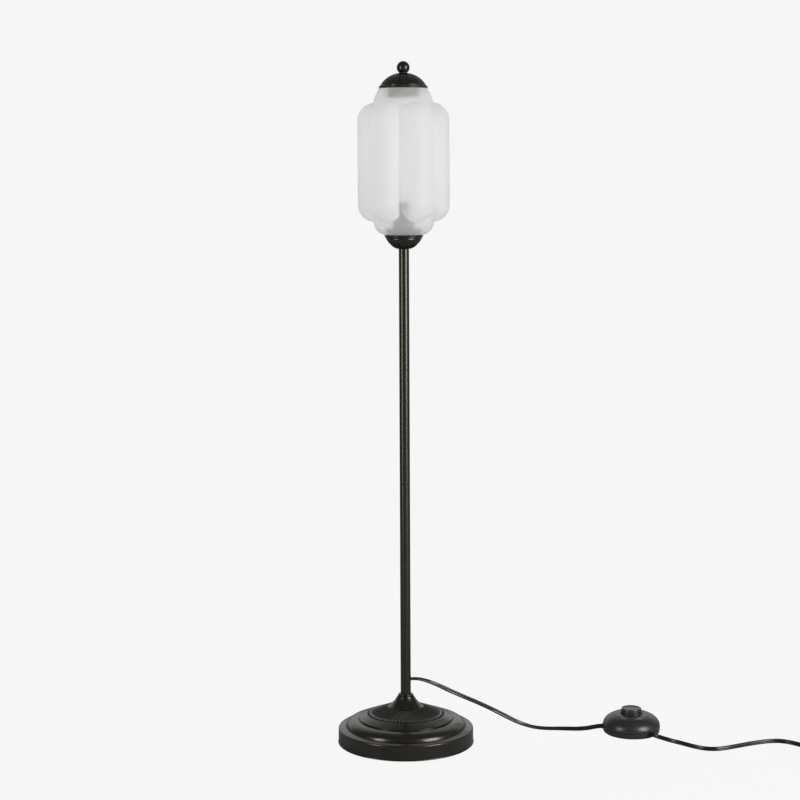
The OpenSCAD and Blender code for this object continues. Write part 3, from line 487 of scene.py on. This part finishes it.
# Acid-etched soda glass. The eye gets an even, pale, blurred view through it, a
# white bloom where a lamp falls on it and a soft wide sheen. One side of the wall
# is etched, so the other one lets the light straight on.
etched_glass, tree = blank_material("acid-etched clear glass")
grain = relief(tree, noise(tree, 900.0, 2.0), 0.08, 0.0002)
blurred = add(tree, "BsdfRefraction", {"Color": colour("#f6f6f6"), "Roughness": 0.6, "IOR": 1.2,
                                       "Normal": grain}).outputs["BSDF"]
milky = add(tree, "BsdfTranslucent", {"Color": colour("#f6f6f6")}).outputs["BSDF"]
bloom = add(tree, "BsdfDiffuse", {"Color": colour("#eaeae9")}).outputs["BSDF"]
sheen = add(tree, "BsdfAnisotropic", {"Color": colour("#ffffff"), "Roughness": 0.5}).outputs["BSDF"]
clear = add(tree, "BsdfTransparent", {"Color": colour("#fafafa")}).outputs["BSDF"]
veil = add(tree, "BsdfTransparent", {"Color": colour("#b4b4b4")}).outputs["BSDF"]
edge = add(tree, "Fresnel", {"IOR": 1.31}).outputs["Fac"]
inner_side = add(tree, "NewGeometry").outputs["Backfacing"]
lamp_light = add(tree, "LightPath").outputs["Is Shadow Ray"]
white = mix(tree, 0.17, mix(tree, 0.45, blurred, milky), bloom)
wall = mix(tree, inner_side, mix(tree, edge, white, sheen), clear)
add(tree, "OutputMaterial", {"Surface": mix(tree, lamp_light, wall, veil)})
finished(glass, etched_glass, "frosted_glass", "root", "glass_shade")

# Top cap. Pressed sheet metal like the cup, larger: leaves run down from the
# crown to a row of small blocks above a thin rim. It rests on the glass.
cap_z, cap_r, cap_arc_r, cap_flat, cap_arc_z = 1024.05, 38.6, 38.99, 2.4, 1009.56
cap_bore, cap_leaves, cap_leaf_depth, cap_block_depth = 2.35, 14, 1.8, 1.6
cap_leaf_shares = ((0, 1), (1, 0.6), (5, 0.3), (6, 0.6))


def on_cap(angle, out=0):
    return (cap_flat + (cap_arc_r + out) * cos(radians(angle)),
            cap_arc_z + (cap_arc_r + out) * sin(radians(angle)))


cap_outline = (
    [(cap_r - 1, cap_z), (cap_r, cap_z), (cap_r + 0.3, cap_z + 0.15), (cap_r - 0.3, cap_z + 1.3),
     (cap_r - 0.9, cap_z + 1.5), (cap_r - 0.9, cap_z + 1.9)]
    + [(cap_r - 0.3, cap_z + 2.1), (cap_r - 0.15, cap_z + 2.6), (cap_r - 0.3, cap_z + 3.3),
       (cap_r - 0.5, cap_z + 3.9), (cap_r - 1, cap_z + 4.2)]
    + [(cap_r - 2, cap_z + 4.3), on_cap(29.8, -0.4), on_cap(30.6)]
    + [on_cap(a) for a in (31.5, 33.5, 36, 40, 45, 50, 55, 60, 65, 70, 74, 78, 81, 84, 87)]
    + [(cap_bore, cap_arc_z + cap_arc_r), (cap_bore, cap_arc_z + cap_arc_r - 1)]
    + [on_cap(a, -1.3) for a in (80, 65, 50, 38, 28)]
    + [(cap_r - 1.2, cap_z + 0.6), (cap_r - 1, cap_z)])
cap_cover = turned("cap_cover", cap_outline, cap_leaves * leaf_parts)


def cap_angle(r, z):
    out = hypot(r - cap_flat, z - cap_arc_z)
    return degrees(atan2(z - cap_arc_z, r - cap_flat)) if out > cap_arc_r - 0.9 else 0


leafwork(cap_cover, cap_leaves, cap_leaf_shares, cap_leaf_depth,
         lambda r, z: 32.5 < cap_angle(r, z) < 79,
         cap_block_depth, lambda r, z: r > cap_r - 1.1 and cap_z + 2 < z < cap_z + 4.25)
finished(cap_cover, lacquer, "satin_metal", "cap", "top_cap")

# Ball. Turned steel in gloss black, bored from below and screwed down on the cap's
# stud, so that it closes the cap's crown.
ball_r, ball_z, ball_foot, ball_roof, ball_bore = 10.2, 1057.1, 1048.8, 1055, 2.1
ball_cover = turned("ball_cover",
                    [(ball_bore, ball_foot), (6.3, ball_foot), (6.6, ball_foot + 0.2)]
                    + arc(0, ball_z, ball_r, ball_r, -50, 90, 30)
                    + [(0, ball_roof), (ball_bore, ball_roof), (ball_bore, ball_foot)], 64)
black_gloss, tree = blank_material("gloss black lacquer")
surface(tree, {"Base Color": colour("#141414"), "Roughness": 0.22, "IOR": 1.5,
               "Normal": relief(tree, noise(tree, 300.0, 2.0), 0.05, 0.0003)})
finished(ball_cover, black_gloss, "black_ball", "finial", "finial_ball")

# Lamp holder and its fittings. A black moulded holder with a white heat-proof core
# is screwed to the nipple in the tube; two moulded rings on its thread hold the
# glass. Only smudges of them show through the etching.
moulded_black, tree = blank_material("moulded black thermoplastic")
surface(tree, {"Base Color": colour("#1d1d1c"), "Roughness": 0.5, "IOR": 1.5,
               "Normal": relief(tree, noise(tree, 700.0, 2.0), 0.2, 0.0002)})

# Glazed white steatite and moulded heat-proof plastic: warm white, half gloss
heat_white, tree = blank_material("white heat-proof moulding")
surface(tree, {"Base Color": two_tones(tree, noise(tree, 90.0, 3.0), "#d9d6cc", "#e6e3da"),
               "Roughness": 0.35, "IOR": 1.5})

# Zinc-plated steel: bluish grey with a soft cloudy shine
zinc, tree = blank_material("bright zinc plating")
cloud = noise(tree, 260.0, 4.0)
surface(tree, {"Base Color": two_tones(tree, cloud, "#9c9d9c", "#b9bab8"),
               "Roughness": between(tree, cloud, 0.25, 0.45), "Metallic": 1.0})

# Turned brass and nickelled brass: one recipe in two colours, with the fine
# rings that a turning tool leaves
turned_metals = {}
for name, dark, light in (("turned brass", "#a98a45", "#c2a55c"),
                          ("nickel plating", "#b0aca4", "#c9c6bf")):
    turned_metals[name], tree = blank_material(name)
    place = add(tree, "TexCoord").outputs["Object"]
    rings = add(tree, "TexWave", {"Vector": place, "Scale": 600.0, "Distortion": 1.5},
                wave_type="BANDS", bands_direction="Z").outputs["Fac"]
    surface(tree, {"Base Color": two_tones(tree, rings, dark, light), "Roughness": 0.28,
                   "Metallic": 1.0})

# Sand-cast iron, unpainted: dark grey and coarse, seen only from below
cast_iron, tree = blank_material("raw cast iron")
sand = noise(tree, 500.0, 6.0)
surface(tree, {"Base Color": two_tones(tree, sand, "#2c2b2a", "#474543"), "Roughness": 0.7,
               "Metallic": 0.7, "Normal": relief(tree, sand, 0.6, 0.0005)})

# Needle felt: black wool fibres, matted, with a dull fuzz
felt, tree = blank_material("black needle felt")
fibre = noise(tree, 1400.0, 4.0, 2.0)
surface(tree, {"Base Color": two_tones(tree, fibre, "#0f0f0f", "#2b2b2a"), "Roughness": 0.95,
               "Sheen Weight": 0.3, "Normal": relief(tree, fibre, 0.7, 0.0006)})

# Thin satin shell of the bulb, unlit: it lets most light straight on, so behind
# the etched glass the eye hardly finds it
satin_shell, tree = blank_material("satin bulb shell")
white = add(tree, "BsdfPrincipled", {
    "Base Color": two_tones(tree, noise(tree, 60.0, 2.0), "#e6e6e4", "#f2f2f0"),
    "Roughness": 0.45, "IOR": 1.45}).outputs["BSDF"]
thin = add(tree, "BsdfTransparent", {"Color": colour("#fafafa")}).outputs["BSDF"]
add(tree, "OutputMaterial", {"Surface": mix(tree, 0.8, white, thin)})

for material, names in (
        (moulded_black, "holder_shell bulb_collar lower_shade_ring upper_shade_ring cord_bush "
                        "glass_gasket switch_pad"),
        (heat_white, "holder_core switch_module cord_clamps"),
        (zinc, "base_bolt base_washer foot_insert joint_socket joint_stud head_insert head_nipple "
               "cup_nut cap_spacer cap_stud stud_nut terminal_screws clamp_screws "
               "switch_screws switch_spring"),
        (turned_metals["turned brass"], "contact_tongue switch_terminals"),
        (turned_metals["nickel plating"], "thread_sleeve bulb_cap plug_pins"),
        (cast_iron, "base_weight"), (felt, "base_pad"), (satin_shell, "bulb_globe"),
        (lacquer, "cap_collar"), (cord_pvc, "inner_cord switch_tails coil_tie plug_sleeves")):
    for name in names.split():
        coat(nodes[name], material)

# Foot switch. Two moulded halves screwed together round the cord, with a short
# sleeve where each cord enters; the upper one is domed with a fine ring and a
# raised collar, and a round dished button stands in it.
switch_x, switch_y, switch_r = 359, 43, 45.2
seam_height, dome_base, dome_top = 9, 12, 31
collar_top, collar_r, button_bore = 34.2, 17.6, 16
button_r, button_top, button_roof, spring_room_r = 15.7, 39.1, 35.95, 13.5
sleeve_r, sleeve_len, sleeve_out, sleeve_turns = 4.3, 5, 43.9, (175, -57)


def put_at_switch(piece):
    piece.data.transform(Matrix.Translation((switch_x * MM, switch_y * MM, 0)))


def dome(angle, inset=0):
    return (collar_r + (switch_r - collar_r - inset) * cos(radians(angle)),
            dome_base + (dome_top - dome_base - inset) * sin(radians(angle)))


switch_lid = turned("switch_lid", (
    [(switch_r - 0.7, seam_height + 0.15), (switch_r - 0.1, seam_height + 0.5),
     (switch_r, seam_height + 1.2)]
    + [dome(a) for a in range(0, 61, 5)]
    + [(29.9, 28.75), (29.6, 28.6), (29.2, 28.75), dome(66, -0.25)]
    + [dome(a) for a in (70, 75, 80, 85, 88)]
    + [(collar_r, 31.2), (collar_r, collar_top - 0.6), (collar_r - 0.5, collar_top),
       (button_bore + 0.3, collar_top), (button_bore, collar_top - 0.4), (button_bore, 29)]
    + [dome(a, 2) for a in (85, 60, 40, 20, 0)]
    + [(switch_r - 2, seam_height + 0.15), (switch_r - 0.7, seam_height + 0.15)]), 128)
for turn in sleeve_turns:
    bpy.ops.object.select_all(action="DESELECT")
    bpy.ops.mesh.primitive_cylinder_add(
        vertices=32, radius=sleeve_r * MM, depth=sleeve_len * MM,
        location=(sleeve_out * MM * cos(radians(turn)), sleeve_out * MM * sin(radians(turn)),
                  seam_height * MM),
        rotation=(0, radians(90), radians(turn)))
    switch_lid.select_set(True)
    bpy.context.view_layer.objects.active = switch_lid
    bpy.ops.object.join()
put_at_switch(switch_lid)
switch_tray = turned("switch_tray", [
    (0, 0.4), (24.4, 0.4), (24.4, 1.2), (27.6, 1.2), (27.6, 0.4), (40.6, 0.4), (41.6, 0.6),
    (43.2, 1.7), (44.3, 3), (44.6, 4.5), (44.9, 7.2), (44.9, seam_height - 0.6),
    (44.5, seam_height - 0.15), (43, seam_height - 0.15), (42.4, 4), (41, 2.6), (0, 2.4)], 128)
put_at_switch(switch_tray)
foot_button = turned("foot_button", [
    (0, 9), (3, 9), (3, button_roof), (spring_room_r, button_roof), (spring_room_r, 26.4),
    (17.9, 26.4), (17.9, 28.6),
    (button_r, 28.6), (button_r, button_top - 1.4), (button_r - 0.15, button_top - 0.8),
    (button_r - 0.6, button_top - 0.2), (button_r - 1.3, button_top),
    (button_r - 2.2, button_top - 0.1), (button_r - 3, button_top - 0.45),
    (button_r - 4.2, button_top - 0.9), (button_r - 7, button_top - 1.25),
    (0, button_top - 1.4)], 96)
put_at_switch(foot_button)

# Injection-moulded plastic off a lightly sparked tool: dark grey-green, satin
switch_skin, tree = blank_material("spark-finished grey-black moulding")
surface(tree, {"Base Color": colour("#232522"), "Roughness": 0.34, "IOR": 1.5,
               "Normal": relief(tree, noise(tree, 800.0, 3.0), 0.05, 0.0002)})
finished(switch_lid, switch_skin, "switch_plastic", "root", "switch_cover")
finished(switch_tray, switch_skin, "switch_plastic", "root", "switch_base")
finished(foot_button, switch_skin, "button_plastic", "button", "switch_button")

# Plug. Moulded on the cord in one piece with its strain relief; it stands for the
# end that the photograph doesn't show.
coat(nodes["plug_body"], moulded_black)

# Studio. A pale floor that runs into a pale background, two tall softboxes left
# and right of the camera, the right one stronger, and a dim surround that grows
# bright behind the lamp, from the floor's edge upwards.
floor_size, floor_z, floor_glow, shadow_share = 60, -0.0002, 1.05, 0.06
backdrop_grey = "#f6f6f6"
surround_dim, surround_bright = 0.16, 0.9
lamp_aim = Vector((0, 0, 0.5))
softboxes = (("softbox_right", (2.3, -1.9, 1.15), (1.5, 1.9), 95),
             ("softbox_left", (-2.3, -1.8, 0.95), (0.9, 1.8), 38))


def eye_ray(tree):
    ray = add(tree, "LightPath").outputs
    return add(tree, "Math", {0: ray["Is Camera Ray"], 1: ray["Is Transmission Ray"]},
               operation="MAXIMUM").outputs["Value"]


bpy.ops.object.select_all(action="DESELECT")
bpy.ops.mesh.primitive_grid_add(x_subdivisions=8, y_subdivisions=8, size=floor_size,
                                location=(0, 0, floor_z))
floor = bpy.context.object
floor.name = "studio_floor"
paper, tree = blank_material("pale paper floor")
lit = add(tree, "BsdfDiffuse", {"Color": colour("#b4b4b4")}).outputs["BSDF"]
plain = add(tree, "Emission", {"Color": colour(backdrop_grey),
                               "Strength": floor_glow}).outputs["Emission"]
shaded = mix(tree, 1 - shadow_share, lit, plain)
add(tree, "OutputMaterial", {"Surface": mix(tree, eye_ray(tree), lit, shaded)})
coat(floor, paper)

bpy.context.scene.world = bpy.data.worlds.new("studio")
bpy.context.scene.world.use_nodes = True
tree = bpy.context.scene.world.node_tree
tree.nodes.clear()
way = add(tree, "SeparateXYZ", {0: add(tree, "TexCoord").outputs["Generated"]}).outputs
rise = add(tree, "MapRange", {"Value": way["Z"], "From Min": 0.0, "From Max": 0.2,
                              "To Min": surround_dim, "To Max": surround_bright})
behind = add(tree, "MapRange", {"Value": way["Y"], "From Min": 0.5, "From Max": 0.85,
                                "To Min": surround_dim, "To Max": rise.outputs["Result"]})
even = add(tree, "Background", {"Color": colour("#ffffff"), "Strength": behind.outputs["Result"]})
backdrop = add(tree, "Background", {"Color": colour(backdrop_grey), "Strength": 1.0})
both = mix(tree, eye_ray(tree), even.outputs["Background"], backdrop.outputs["Background"])
add(tree, "OutputWorld", {"Surface": both})

for name, place, size, power in softboxes:
    bpy.ops.object.light_add(type="AREA", location=place)
    lamp = bpy.context.object
    lamp.name = name
    lamp.data.shape = "RECTANGLE"
    lamp.data.size, lamp.data.size_y = size
    lamp.data.energy = power
    lamp.rotation_euler = (lamp_aim - Vector(place)).to_track_quat("-Z", "Y").to_euler()
bpy.context.scene.view_settings.view_transform = "Standard"
